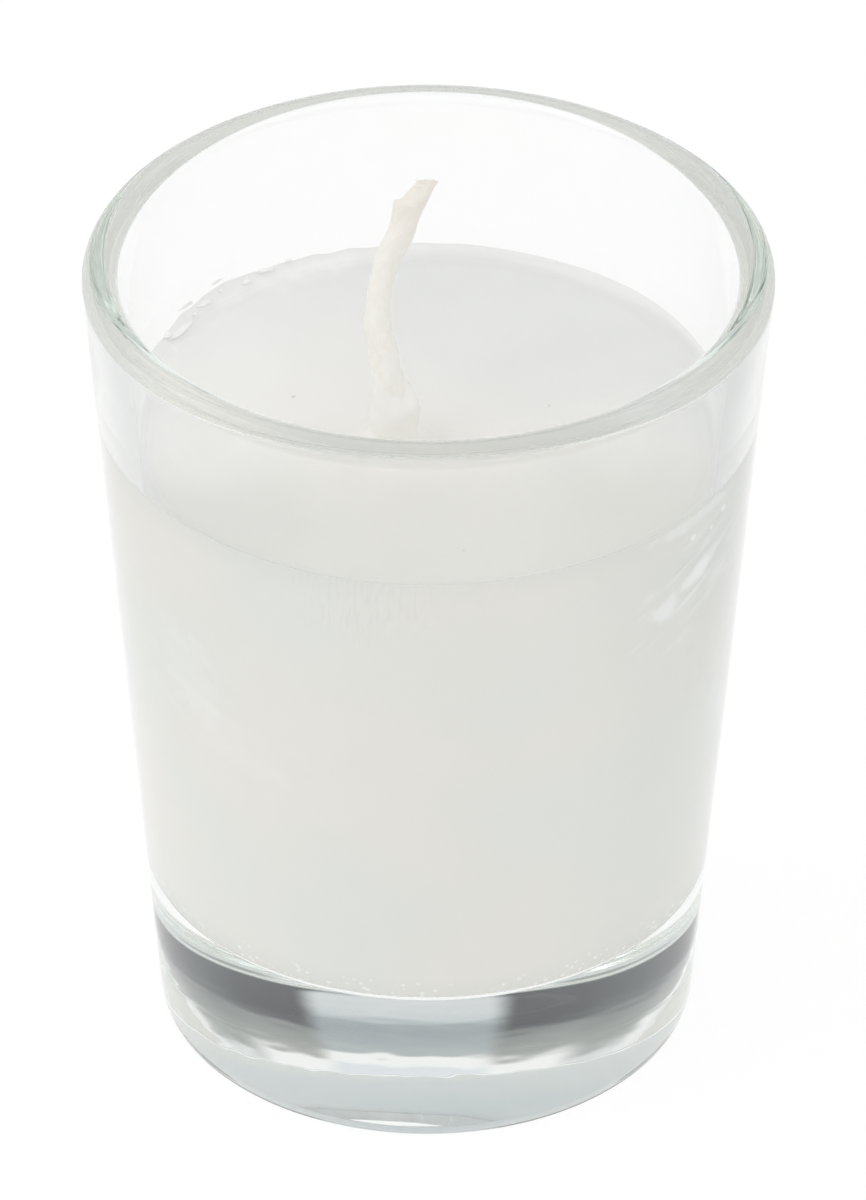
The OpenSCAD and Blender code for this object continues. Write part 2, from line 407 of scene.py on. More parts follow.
def pathPoints(points, count):
    # a smooth curve through the points, at even steps along its length
    p = np.array(points, float)
    p = np.concatenate([[2 * p[0] - p[1]], p, [2 * p[-1] - p[-2]]])
    fine = []
    for i in range(1, len(p) - 2):
        for t in np.arange(24) / 24.0:
            fine.append(0.5 * (2 * p[i] + (p[i + 1] - p[i - 1]) * t
                               + (2 * p[i - 1] - 5 * p[i] + 4 * p[i + 1] - p[i + 2]) * t ** 2
                               + (3 * p[i] - p[i - 1] - 3 * p[i + 1] + p[i + 2]) * t ** 3))
    fine.append(p[-2])
    fine = np.array(fine)
    steps = np.linalg.norm(np.diff(fine[:, :3], axis=0), axis=1)
    length = np.concatenate([[0], np.cumsum(steps)])
    at = np.linspace(0, length[-1], count)
    return np.stack([np.interp(at, length, fine[:, j]) for j in range(fine.shape[1])], 1), length[-1]


wickCurve = pathPoints(wick["path"], 300)[0]


def wickLine(z):
    # the middle of the wick at a height
    return np.interp(z, wickCurve[:, 2], wickCurve[:, 0]), np.interp(z, wickCurve[:, 2], wickCurve[:, 1])


# the wax

wax = {
    "level": 51.6, "dish": 0.3,   # the wax at the wall, above the table, and how far its middle sinks
    "overlap": 0.045,         # how far the wax wets into the glass, so that no gap shows
    "footSink": 0.02,
    "solidClimb": 1.1,        # how far the solid's edge climbs the wall, which gives the curve of the dish
    "climb": 1.0, "climbRough": 0.2, "climbAngle": 22.0,
    "surfaceSwell": 0.05, "surfaceGrain": 0.008,
    "collarTop": 57.6, "collarRadius": 1.72, "collarFlare": 1.25,
    # the collar's thin top, from the middle of the wick, what it gains lower down, and the flare at its foot
    "filmRadius": 0.9, "filmGain": 0.45, "flareHeight": 1.3,
    "channelTop": 46.0, "channelRadius": 1.1, "channelCone": 1.5,   # above it the wax is one with the wick
    "coreRadius": 0.3,
    # the drop on the right of the collar
    "lobeSize": 0.35, "lobeTurn": -8.0, "lobeSpread": 40.0, "lobeHeight": 54.5, "lobeTall": 0.75,
    "discRadius": 7.5, "discSheet": 0.3, "beadAt": 5.0, "beadRadius": 0.8,
    "neckRadius": 1.65, "neckHeight": 5.0, "room": 0.05,
    "cornerGap": 0.09,        # at the bottom corner it has shrunk off the glass, which shows as a bright line
    "sides": 320,
    "coolColour": (0.83, 0.835, 0.825, 1.0), "warmColour": (0.905, 0.885, 0.84, 1.0),
    # painted light on the left of the surface, and painted shade in front of it
    "paintedLeftLight": (0.92, 0.925, 0.91, 1.0), "paintedFrontShade": (0.775, 0.765, 0.725, 1.0),
    "thinPaintedLight": (0.985, 0.985, 0.98, 1.0), "collarPaintedLight": (0.955, 0.935, 0.895, 1.0),
    "sideCool": (0.868, 0.876, 0.838, 1.0), "sideWarm": (0.90, 0.88, 0.838, 1.0),
    "footPaintedBlue": (0.92, 0.95, 0.99, 1.0), "footPaintedPale": (0.99, 1.0, 1.0, 1.0),
    # the darker wax colour marks wet spots and streaks, and is also used as painted shade
    "wetAndShadeColour": (0.78, 0.79, 0.765, 1.0), "frostColour": (0.985, 0.985, 0.975, 1.0),
    "splashDark": (0.97, 0.97, 0.965, 1.0), "splashPale": (0.995, 0.995, 0.99, 1.0),
    "speckColour": (0.42, 0.41, 0.33, 1.0),
    # spots on the side: degrees round the glass, height, half their width and height, lean, strength
    "warmSpots": ((-90.0, 45.0, 26.0, 9.0, 0.0, 0.7), (-75.0, 17.0, 30.0, 5.0, 0.0, 0.4)),
    "wetSpots": ((-27.0, 47.2, 11.0, 3.6, 0.0, 0.8), (-20.0, 42.0, 13.0, 10.0, 0.0, 0.4)),
    "frostSpots": ((-30.5, 46.0, 6.0, 1.1, 0.05, 0.9), (-39.5, 44.4, 4.5, 1.3, 0.13, 0.8),
                   (-142.0, 38.0, 10.0, 4.5, -0.12, 0.2), (-134.0, 33.5, 16.0, 2.4, -0.05, 0.12),
                   (-33.0, 51.3, 15.0, 0.7, 0.0, 0.5), (-27.2, 49.2, 0.9, 0.35, 0.0, 1.0),
                   (-33.4, 49.7, 0.9, 0.35, 0.0, 1.0), (-23.0, 49.9, 1.0, 0.3, 0.0, 1.0)),
    # strokes that the wax drew as it shrank: the same five, then their slope, width, shade and strength
    "strokes": ((-138.0, 35.5, 26.0, 7.0, -0.1, -0.3, 1.4, "frostColour", 0.13),
                (-30.0, 45.5, 18.0, 6.0, 0.1, 0.4, 0.8, "frostColour", 0.6),
                (-103.0, 50.5, 15.0, 4.5, 0.0, 30.0, 0.25, "wetAndShadeColour", 0.4)),
    # drops that splashed up the wall behind: degrees, height, half their width and height, lean, thickness
    "splashes": ((149.8, 52.05, 1.7, 0.16, -0.03, 0.78), (154.0, 52.4, 0.3, 0.25, 0.0, 0.5),
                 (140.4, 52.5, 0.85, 0.14, 0.08, 0.45), (144.4, 52.3, 0.22, 0.14, 0.0, 0.5),
                 (135.8, 52.7, 0.3, 0.12, 0.0, 0.3), (129.2, 52.45, 0.5, 0.13, 0.08, 0.42),
                 (124.4, 52.7, 0.7, 0.12, 0.12, 0.3), (119.0, 52.85, 0.25, 0.12, 0.0, 0.2),
                 (146.0, 53.2, 0.9, 0.16, 0.12, 0.04), (136.5, 53.5, 0.6, 0.13, -0.05, 0.04)),
    "bubbleSpacing": 0.6,
    "specks": ((-9.96, 2.76, 0.19), (8.89, 1.68, 0.16), (2.5, -16.2, 0.13)),   # x, y and half width
    "scatter": (1.3, 1.2, 1.1), "scatterScale": 0.0011,
}

swellWaves = rippleWaves(21, 10, 22.0, 6.0)
grainWaves = rippleWaves(22, 16, 5.0, 1.2)
edgeWaves = rippleWaves(23, 14, 16.0, 1.3)
lumpWaves = rippleWaves(25, 8, 4.0, 1.5)
# the solid's edge is an arc that ends 0.05 mm inside the wall. The dish ends where that arc begins.
climbTilt = math.radians(wax["climbAngle"])
climbRadius = wax["solidClimb"] / (1 - math.sin(climbTilt))
climbX = cavityX(wax["level"] + wax["solidClimb"]) - 0.05 - climbRadius * math.cos(climbTilt)
poolZ = wax["level"] - wax["dish"]     # the lowest of the poured surface
floorZ = glass["baseThickness"]


def waxTopZ(x, y):
    # the poured surface: a shallow dish with slow swells
    r = np.hypot(x, y)
    level = wax["level"] - wax["dish"] * (1 - np.clip(r / climbX, 0, 1) ** 2)
    level = level + wax["surfaceSwell"] * rippleAt(swellWaves, x, y) * smoothStep((climbX - r) / 3.0 + 0.3)
    return level + wax["surfaceGrain"] * rippleAt(grainWaves, x, y)


def climbHeight(angle):
    # how high the wax climbs the wall: uneven, and most so at the back left
    around = 21.0    # about where the wax meets the wall
    wave = rippleAt(edgeWaves, around * np.cos(angle), around * np.sin(angle))
    back = smoothStep((np.sin(angle) + 0.5) / 1.2)
    left = smoothStep((-np.cos(angle) + 0.2) / 0.8) * back
    return wax["climb"] * (0.55 + 0.45 * back) + wax["climbRough"] * (0.15 + 1.2 * left) * wave


def pocketProfile():
    # the pocket of the sustainer and the channel of the wick, from the floor up, round the wick's foot
    room = wax["room"]
    discX, discZ = wax["discRadius"] + room, floorZ + wax["discSheet"] + room
    beadOut = wax["beadRadius"] + room
    beadStart = math.degrees(math.asin((wax["discSheet"] + room) / beadOut))
    beadSide = beadOut * math.cos(math.radians(beadStart))
    neck, neckTop = wax["neckRadius"] + room, floorZ + wax["neckHeight"] + room
    channel, channelTop = wax["channelRadius"], wax["channelTop"]
    profile = [(discX, floorZ - wax["footSink"])]
    profile += linePoints((discX, floorZ), (discX, discZ), 2)
    profile += linePoints((discX, discZ), (wax["beadAt"] + beadSide, discZ), 4)
    profile += arcPoints((wax["beadAt"], floorZ), beadOut, beadStart, 180 - beadStart, 8)
    profile += linePoints((wax["beadAt"] - beadSide, discZ), (neck, discZ), 4)
    profile += linePoints((neck, discZ), (neck, neckTop), 5)
    profile += linePoints((neck, neckTop), (channel, neckTop), 2)
    profile += linePoints((channel, neckTop), (channel, channelTop), 4)
    profile += linePoints((channel, channelTop), (wax["coreRadius"], channelTop + wax["channelCone"]), 2)
    return profile


def followWick(radius, turn, z):
    # a ring round the bent middle of the wick
    lineX, lineY = wickLine(z)
    return ringPoints(radius, turn, z, lineX, lineY)


def coreRings(turn, top):
    # a thin core inside the wick, up to where the collar starts
    foot = wax["channelTop"] + wax["channelCone"]
    return [followWick(wax["coreRadius"], turn, foot + (top - foot) * s) for s in np.linspace(0, 1, 9)[:-1]]


def collarRings(turn, top):
    # the collar: drawn up round the wick and thinning out on it, with a drop that set on its right
    fromLobe = (np.degrees(turn) - wax["lobeTurn"] + 180.0) % 360.0 - 180.0
    lobe = wax["lobeSize"] * np.exp(-fromLobe ** 2 / (2 * wax["lobeSpread"] ** 2))
    core = wax["coreRadius"]
    rings = []
    for s in np.linspace(0, 1, 64)[:-1]:
        z = top + (poolZ - top) * s ** 1.3
        depth = top - z
        film = (wax["filmRadius"] - core) * smoothStep(depth / 0.15)
        film = film + wax["filmGain"] * smoothStep(depth / 2.8)
        spread = wax["collarRadius"] - wax["filmRadius"] - wax["filmGain"]
        spread = spread * smoothStep((depth - 1.2) / 3.0)
        fromDrop = (z - wax["lobeHeight"]) / wax["lobeTall"]
        drop = lobe * np.exp(-fromDrop ** 2) * smoothStep(depth / 1.5)
        flare = wax["collarFlare"] * np.clip(1 - (z - poolZ) / wax["flareHeight"], 0, 1) ** 2.6
        wobble = 0.06 * rippleAt(lumpWaves, 2.0 * np.cos(turn) + z, 2.0 * np.sin(turn) - 1.3 * z)
        radius = core + film + spread + drop + flare + wobble * smoothStep(depth / 1.2)
        rings.append(followWick(radius, turn, z))
    return rings


def surfaceRings(turn, edge):
    # the poured surface, from the foot of the collar to where it starts to climb the wall
    start = wax["collarRadius"] + wax["collarFlare"]
    rings = []
    for s in np.linspace(0, 1, 66)[:-1]:
        ring = ringPoints(start + (edge - start) * s ** 1.15, turn, poolZ, wick["x"], wick["y"])
        settle = smoothStep(s / 0.12)
        ring[:, 2] = poolZ + (waxTopZ(ring[:, 0], ring[:, 1]) - poolZ) * settle
        rings.append(ring)
    return rings


def climbRings(angle, wallTop, startZ):
    # the edge, that curves up onto the glass
    touch = cavityX(wallTop) + wax["overlap"] + cavityRipple(angle, wallTop)
    fullTurn = math.radians(90 - wax["climbAngle"])
    rings = []
    for s in np.append(np.linspace(0, 1, 26)[:-1], (0.985, 0.996, 1.0)):
        lift = (1 - math.cos(s * fullTurn)) / (1 - math.cos(fullTurn))
        way = math.sin(s * fullTurn) / math.sin(fullTurn)
        rings.append(ringPoints(climbX + (touch - climbX) * way, angle, startZ + (wallTop - startZ) * lift))
    return rings


def sideRings(angle, wallTop):
    # down the side against the glass, and round the bottom corner, where it has shrunk off the glass
    floorRound = glass["floorRound"]
    sideEnd = floorZ + floorRound * (1 - math.sin(draftIn))
    calmFoot, calmEase = glass["cavityCalm"][:2]
    rings = []
    for s in np.append((0.0004, 0.0015), np.linspace(0, 1, 62)[1:]):
        z = wallTop + (sideEnd - wallTop) * s
        waves = smoothStep((z - calmFoot) / calmEase) * cavityRipple(angle, z)
        rings.append(ringPoints(cavityX(z) + wax["overlap"] + waves, angle, z))
    roundX = cavityX(floorZ + floorRound) - floorRound / math.cos(draftIn)
    # the gap opens 46 degrees down the corner, and sooner in front
    front = np.clip(-np.sin(angle), 0, 1) ** 2
    for tilt in np.linspace(-math.degrees(draftIn), -90, 26)[1:-1]:
        gap = wax["cornerGap"] * smoothStep((-tilt - 46.0 + 14.0 * front) / 10.0)
        radius = floorRound + wax["footSink"] - gap * smoothStep((tilt + 88.0) / 4.0)
        x = roundX + radius * math.cos(math.radians(tilt))
        rings.append(ringPoints(x, angle, floorZ + floorRound + radius * math.sin(math.radians(tilt))))
    return rings, roundX


def waxRings():
    # every ring in turn: out of the pocket, over the surface, down the side and back under, with their slots
    turn = turnAngles(wax["sides"])
    wickX, wickY = wick["x"], wick["y"]
    pocket = [ringPoints(radius, turn, z, wickX, wickY) for radius, z in pocketProfile()]
    top = wax["collarTop"] + 0.3 * rippleAt(lumpWaves, 1.8 * np.cos(turn), 1.8 * np.sin(turn))
    # how far from the wick each of its rays meets the circle where the edge starts to climb
    across = wickX * np.cos(turn) + wickY * np.sin(turn)
    edge = -across + np.sqrt(across ** 2 - (wickX ** 2 + wickY ** 2) + climbX ** 2)
    # from the edge on the rings lie round the glass's axis, at the angles where the rays met it
    edgeX, edgeY = wickX + edge * np.cos(turn), wickY + edge * np.sin(turn)
    angle = np.arctan2(edgeY, edgeX)
    wallTop = wax["level"] + climbHeight(angle)
    side, roundX = sideRings(angle, wallTop)
    # across the floor, back to the edge of the pocket
    inner = pocket[0]
    outer = ringPoints(roundX, angle, floorZ - wax["footSink"])
    floor = [outer + (inner - outer) * s for s in np.linspace(0, 1, 9)[:-1]]
    hidden = pocket + coreRings(turn, top)
    bare = collarRings(turn, top) + surfaceRings(turn, edge)
    bare += climbRings(angle, wallTop, waxTopZ(edgeX, edgeY))
    slots = [1] * len(hidden) + [0] * len(bare) + [1] * (len(side) + len(floor))
    return np.array(hidden + bare + side + floor), slots


def splashSkin(degrees, z, halfWide, halfHigh, lean, thick):
    # a closed lens of wax on the inside of the wall, with an uneven outline
    turn = turnAngles(40)
    outline = 1.0 + 0.17 * np.sin(3 * turn + 7 * z) + 0.1 * np.sin(5 * turn + degrees)
    rings = []
    for s, stand in ((0.25, 0.97), (0.5, 0.87), (0.7, 0.71), (0.85, 0.53), (0.95, 0.31), (1.0, 0.0),
                     (0.9, -1.0), (0.4, -1.0)):
        across = s * halfWide * outline * np.cos(turn)
        height = z + s * halfHigh * outline * np.sin(turn) + lean * across
        inward = stand * thick if stand > 0 else stand * wax["overlap"]
        angle = math.radians(degrees) + across / cavityX(z)
        rings.append(ringPoints(cavityX(height) + cavityRipple(angle, height) - inward, angle, height))
    poles = [rings[0].mean(0), rings[-1].mean(0)]
    return skinRings(np.array(rings), poles=poles, slots=[2] * len(rings))


def spotMask(tree, across, up, spot, rough):
    # 1 inside a soft-edged leaning spot, 0 outside it. rough is a noise that frays its edge.
    placeAcross, placeUp, halfAcross, halfUp, lean = spot
    fromMiddle = minus(tree, across, placeAcross)
    rise = minus(tree, minus(tree, up, placeUp), times(tree, fromMiddle, lean))
    sideShare = mathNode(tree, "DIVIDE", fromMiddle, halfAcross)
    riseShare = mathNode(tree, "DIVIDE", rise, halfUp)
    squares = plus(tree, times(tree, sideShare, sideShare), times(tree, riseShare, riseShare))
    # the noise adds about 0.8, so that the spot fades out from 0.4 to 1.1 of its half width
    frayed = plus(tree, mathNode(tree, "SQRT", squares), times(tree, rough, 1.6))
    return ease(tree, frayed, 1.2, 1.9, 1.0, 0.0)


def strokeMask(tree, turn, height, slope, size):
    # thin strokes, size mm wide, that rise slope mm for each mm to the right
    along = times(tree, turn, math.radians(20.5))    # degrees turned into mm along the wall
    drop = math.hypot(1.0, slope)
    run = mathNode(tree, "DIVIDE", plus(tree, along, times(tree, height, slope)), drop)
    across = mathNode(tree, "DIVIDE", minus(tree, height, times(tree, along, slope)), drop)
    flat = addNode(tree, "CombineXYZ", {"X": run, "Y": across})
    return ease(tree, noiseAt(tree, flat.outputs[0], size, 1.0, stretch=(0.15, 1.0, 1.0)), 0.42, 0.72)


def sideColour(tree, place, x, y, height):
    # cool and warm clouds, painted shade to the right and just under the edge, with scuffs and strokes
    turn = times(tree, mathNode(tree, "ARCTAN2", y, x), 180.0 / math.pi)
    slow = noiseAt(tree, place, 17.0, 1.5)
    colour = mixColours(tree, ease(tree, slow, 0.38, 0.62), wax["sideCool"], wax["sideWarm"])
    # painted shade: darker to the right
    paintedShadeRight = times(tree, ease(tree, turn, -70.0, -28.0), 0.45)
    colour = mixColours(tree, paintedShadeRight, colour, wax["wetAndShadeColour"])
    # painted shade: darker just under the edge
    edge = times(tree, ease(tree, height, wax["level"] - 1.8, wax["level"] + 0.3), 0.35)
    colour = mixColours(tree, edge, colour, wax["wetAndShadeColour"])
    fray = noiseAt(tree, place, 1.3, 4.0)
    for spots, shade in (("warmSpots", "sideWarm"), ("wetSpots", "wetAndShadeColour"), ("frostSpots", "frostColour")):
        for *spot, strength in wax[spots]:
            mask = times(tree, spotMask(tree, turn, height, spot, fray), strength)
            colour = mixColours(tree, mask, colour, wax[shade])
    for *spot, slope, size, shade, strength in wax["strokes"]:
        mask = spotMask(tree, turn, height, spot, fray)
        mask = times(tree, mask, strokeMask(tree, turn, height, slope, size))
        colour = mixColours(tree, times(tree, mask, strength), colour, wax[shade])
    return colour


def addWaxShader(tree, colour, inDepth, inputs):
    # light sinks in by the share inDepth
    addShader(tree, {
        "Base Color": colour, "Subsurface Weight": inDepth, "Subsurface Radius": wax["scatter"],
        "Subsurface Scale": wax["scatterScale"], **inputs}, subsurface_method="BURLEY")


def waxUnderGlass():
    # the side and the foot of the wax, as the glass shows them
    material, tree, place = newMaterial("waxUnderGlass")
    x, y, height = splitPlace(tree, place)
    colour = sideColour(tree, place, x, y, height)
    # pinhead bubbles caught against the glass low down
    cells = addNode(tree, "TexVoronoi", {"Vector": place, "Scale": 1.0 / wax["bubbleSpacing"]})
    bubbles = ease(tree, cells.outputs["Distance"], 0.23, 0.31, 1.0, 0.0)
    low = ease(tree, height, floorZ + 1.6, floorZ + 3.0, 1.0, 0.0)
    few = ease(tree, noiseAt(tree, place, 2.6, 1.0), 0.4, 0.48)
    bubbles = times(tree, times(tree, bubbles, low), few)
    # the wax is a little darker towards the bottom
    colour = mixColours(tree, times(tree, low, 0.25), colour, wax["wetAndShadeColour"])
    colour = mixColours(tree, bubbles, colour, white)
    # the foot set in cloudy streaks, half stuck to the glass, painted bluish and pale as painted light
    # through the base
    cloud = ease(tree, noiseAt(tree, place, 5.0, 3.0, stretch=(0.5, 1.0, 1.0)), 0.38, 0.68)
    foot = mixColours(tree, cloud, wax["footPaintedBlue"], wax["footPaintedPale"])
    # painted light: paler still towards the rim of the foot
    foot = mixColours(tree, ease(tree, awayFrom(tree, place), 11.0, 17.5), foot, white)
    colour = mixColours(tree, ease(tree, height, floorZ + 0.02, floorZ + 0.3, 1.0, 0.0), colour, foot)
    # light sinks in, but for the thin edge, the foot and the bubbles
    inDepth = times(tree, ease(tree, height, wax["level"] - 1.8, wax["level"] - 0.2, 1.0, 0.0),
                    ease(tree, height, floorZ + 0.1, floorZ + 0.8))
    inDepth = mathNode(tree, "SUBTRACT", inDepth, bubbles, clamp=True)
    addWaxShader(tree, colour, inDepth, {"Roughness": 0.6, "Specular IOR Level": 0.0})
    return material


def pouredWax():
    # the open surface: cool at the back, warmer towards the wick, satin, with a few specks of dust
    material, tree, place = newMaterial("pouredWax")
    x, y, height = splitPlace(tree, place)
    slow = times(tree, noiseAt(tree, place, 12.0, 2.0), 16.0)
    nearer = minus(tree, slow, plus(tree, y, times(tree, x, 0.4)))
    colour = mixColours(tree, ease(tree, nearer, -8.0, 16.0), wax["coolColour"], wax["warmColour"])
    # painted light: the surface is painted paler to the left, where the stronger lamp stands
    paintedLightToLeft = ease(tree, x, -17.0, -3.0, 0.6, 0.0)
    # painted shade: the surface is painted darker towards the front
    paintedShadeInFront = ease(tree, plus(tree, y, times(tree, slow, 0.5)), -7.0, 2.0, 0.8, 0.0)
    # thin wax is paler: its edge on the glass behind, and the collar that the wick shows through. Both are
    # also painted light: the edge is painted near white for the bright wall behind it, the collar painted
    # paler for light on it
    outward = awayFrom(tree, place)
    ragged = times(tree, noiseAt(tree, place, 1.6, 3.0), ease(tree, x, -8.0, 2.0, 0.8, 0.1))
    thin = ease(tree, plus(tree, height, ragged), wax["level"] + 0.2, wax["level"] + 1.1)
    thin = times(tree, thin, ease(tree, outward, 19.0, 21.0))
    thin = times(tree, thin, ease(tree, y, -14.0, -2.0))
    fromWick = awayFrom(tree, place, wick["x"], wick["y"])
    # the collar: paler where the wick shows through, and painted paler still as painted light
    collar = ease(tree, fromWick, 1.6, 3.6, 1.0, 0.0)
    # painted shade: in front the edge is painted as a soft grey line
    frontEdge = ease(tree, y, -14.0, -2.0, 0.4, 0.0)
    frontEdge = times(tree, ease(tree, outward, 20.4, 21.0), frontEdge)
    for mask, shade in ((paintedLightToLeft, "paintedLeftLight"), (paintedShadeInFront, "paintedFrontShade"), (thin, "thinPaintedLight"),
                        (frontEdge, "wetAndShadeColour"), (collar, "collarPaintedLight")):
        colour = mixColours(tree, mask, colour, wax[shade])
    fray = noiseAt(tree, place, 0.3, 2.0)
    for speckX, speckY, size in wax["specks"]:
        speck = spotMask(tree, x, y, (speckX, speckY, size, size, 0.0), fray)
        colour = mixColours(tree, times(tree, speck, 0.4), colour, wax["speckColour"])
    dust = times(tree, noiseAt(tree, place, 0.55, 2.0), 0.25)
    bump = addNode(tree, "Bump", {
        "Height": plus(tree, dust, noiseAt(tree, place, 3.0, 3.0)), "Strength": 0.25, "Distance": 0.0002})
    gloss = ease(tree, noiseAt(tree, place, 4.0, 3.0), 0.3, 0.7, 0.36, 0.52)
    gloss = times(tree, gloss, ease(tree, outward, 20.8, 21.1, 1.0, 0.5))
    # light sinks in, but for where it clings to the wick and the wall
    inDepth = times(tree, ease(tree, fromWick, 2.4, 4.6),
                    ease(tree, outward, 19.6, 20.9, 1.0, 0.0))
    addWaxShader(tree, colour, inDepth, {"Normal": bump.outputs[0], "IOR": 1.44, "Roughness": gloss})
    return material


def splashedWax():
    # thin wet-looking wax on the wall, painted near white: partly its own pale colour, partly painted glints
    material, tree, place = newMaterial("splashedWax")
    colour = mixColours(tree, noiseAt(tree, place, 0.6, 2.0), wax["splashDark"], wax["splashPale"])
    gloss = ease(tree, noiseAt(tree, place, 0.5, 2.0), 0.3, 0.7, 0.1, 0.25)
    addShader(tree, {"Base Color": colour, "Roughness": gloss, "IOR": 1.6})
    return material


waxRingPoints, waxRingSlots = waxRings()
waxSkin = skinRings(waxRingPoints, looped=True, slots=waxRingSlots)
splashes = [splashSkin(*splash) for splash in wax["splashes"]]
waxFill = makePiece("waxFill", [waxSkin] + splashes, [pouredWax(), waxUnderGlass(), splashedWax()])
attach(waxFill, "root")
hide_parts("wax_fill")
print("wax made:", len(waxFill.data.polygons), "faces")


# the wick

def wickFrames():
    # the middle, half width and two cross directions at each ring, its share of the way and its length so far
    line, length = pathPoints(wick["path"], wick["rings"])
    centre, radius = line[:, :3], line[:, 3]
    heading = unitRows(np.gradient(centre, axis=0))
    share = np.linspace(0, 1, len(line))
    level = smoothStep((share - wick["cutFrom"]) / (1 - wick["cutFrom"]))[:, None]
    square = unitRows(heading * (1 - level) + np.array([0.0, 0.0, 1.0]) * level)
    side = unitRows(np.cross([0.0, 1.0, 0.0], square))
    back = np.cross(square, side)
    return centre, radius, side, back, share, share * length


def braidSkin(turn, rise):
    # how high the braid and its yarns stand round one ring: 1 on top of a strand, and the yarns' waves
    strands = []
    for way in (1, -1):
        phase = wick["strands"] * (turn + way * 2 * math.pi * rise / wick["strandPitch"])
        weave = way * 0.6 * np.cos(wick["strands"] * turn)
        strands.append((np.cos(phase) + weave + 1.6) / 3.2)    # from 0 to 1
    upper = strands[0] > strands[1]
    yarns = np.zeros(len(turn))
    for way, mask in ((1, upper), (-1, ~upper)):
        twist = turn + way * 2 * math.pi * rise / wick["strandPitch"]
        yarns = yarns + mask * np.cos(wick["yarnsPerStrand"] * wick["strands"] * twist)
    return (strands[0] ** 5 + strands[1] ** 5) ** 0.2, yarns


def wickSkin():
    centre, radius, side, back, share, rise = wickFrames()
    turn = turnAngles(wick["sides"])
    rings = []
    for i in range(len(centre)):
        braid, yarns = braidSkin(turn, rise[i])
        # wax fills the braid near the foot and in a smooth patch half way up
        nearFoot = 1 - float(smoothStep((rise[i] - 2.0) / 2.0))
        filled = 0.55 * math.exp(-((share[i] - 0.56) / 0.09) ** 2) + 0.35 * nearFoot
        dent = wick["strandDepth"] * (1 - braid) - wick["yarnDepth"] * (yarns - 1) * 0.5
        skin = radius[i] - (1 - filled) * dent
        below = wick["lumpAt"] - share[i]
        lump = math.exp(-(below / (0.045 if below > 0 else 0.009)) ** 2)    # it rises slowly and ends short
        skin = skin + wick["lumpSize"] * lump * np.clip(-np.cos(turn - 0.25), 0, 1) ** 3
        flat = 1.0 - wick["tipFlat"] * float(smoothStep((share[i] - wick["cutFrom"]) / (1 - wick["cutFrom"])))
        rings.append(centre[i] + skin[:, None] * roundOut(turn, side[i], back[i], flat))
    # the cut tip: cotton ends that fan a little, sunk towards the middle
    tip = rings[-1]
    middle = tip.mean(0)
    for s, sink in ((0.92, 0.0), (0.8, -0.05), (0.6, -0.12), (0.35, -0.08), (0.15, -0.1)):
        tuft = 0.03 * np.sin(9 * turn + 3 * s) + 0.03 * np.sin(17 * turn - 5 * s)
        cap = middle + (tip - middle) * s
        cap[:, 2] += sink + tuft * s
        rings.append(cap)
    # the straight foot, down to the floor of the glass
    below = ringPoints(wick["radius"], turn, wick["bottom"], wick["x"], wick["y"])
    straight = [below + (rings[0] - below) * s for s in (0.0, 0.25, 0.5, 0.75)]
    poles = [(wick["x"], wick["y"], wick["bottom"]), tuple(middle + np.array([0, 0, -0.1]))]
    return skinRings(np.array(straight + rings), poles=poles)


def fibreSkin(points, thickness):
    # a fine tapering thread through a few points
    heading = unitRows(np.gradient(points, axis=0))
    side = unitRows(np.cross(heading, [0.3, 0.5, 0.8]))
    back = np.cross(heading, side)
    turn = turnAngles(6)
    taper = np.linspace(1.0, 0.35, len(points)) * thickness
    rings = [points[i] + taper[i] * roundOut(turn, side[i], back[i]) for i in range(len(points))]
    return skinRings(np.array(rings), poles=[tuple(points[0]), tuple(points[-1])])


def strayFibres():
    # short cotton hairs that stand off the braid, and a few at the cut
    centre, radius, side, back = wickFrames()[:4]
    rng = np.random.default_rng(31)
    skins = []
    for n in range(wick["strayFibres"]):
        atTip = n < wick["tipFibres"]
        i = int(len(centre) * (0.97 + 0.025 * rng.random() if atTip else 0.25 + 0.7 * rng.random()))
        around = rng.random() * 2 * math.pi
        out = math.cos(around) * side[i] + math.sin(around) * back[i]
        along = np.cross(side[i], back[i])
        start = centre[i] + out * (radius[i] * (0.75 if atTip else 0.9))
        reach = (0.25 + 0.35 * rng.random()) if atTip else (0.15 + 0.3 * rng.random())
        lean = along * (0.8 if atTip else 0.9) + out * (0.35 if atTip else 0.42)
        lean = lean + 0.3 * (rng.random(3) - 0.5)
        curl = 0.35 * (rng.random(3) - 0.5)
        points = np.array([start + lean * reach * t + curl * reach * t * t for t in np.linspace(0, 1, 7)])
        points[:, 2] = np.minimum(points[:, 2], wick["top"] - 0.03)
        skins.append(fibreSkin(points, wick["tipFibreWidth"] if atTip else wick["fibreWidth"]))
    return skins


def wickMaterial():
    # cotton soaked in wax: warm white yarns, glossier where the wax lies thick
    material, tree, place = newMaterial("waxedCotton")
    height = splitPlace(tree, place)[2]
    yarn = noiseAt(tree, place, 0.5, 3.0, stretch=(1.0, 1.0, 0.35))
    colour = mixColours(tree, ease(tree, yarn, 0.3, 0.7), wick["yarnDark"], wick["yarnLight"])
    colour = mixColours(tree, ease(tree, height, 64.5, 68.0), colour, wick["tipColour"])
    coat = ease(tree, noiseAt(tree, place, 1.8, 2.0), 0.42, 0.6)
    waxed = times(tree, coat, ease(tree, height, 55.0, 64.0, 1.0, 0.0))
    colour = mixColours(tree, times(tree, waxed, 0.5), colour, wick["coatColour"])
    cotton = noiseAt(tree, place, 0.12, 3.0, stretch=(1.0, 1.0, 0.3))
    bump = addNode(tree, "Bump", {"Height": cotton, "Strength": 0.35, "Distance": 0.00006})
    addShader(tree, {
        "Base Color": colour, "Roughness": ease(tree, waxed, 0.0, 1.0, 0.62, 0.32),
        "Normal": bump.outputs[0], "Sheen Weight": 0.25, "Sheen Roughness": 0.5})
    return material


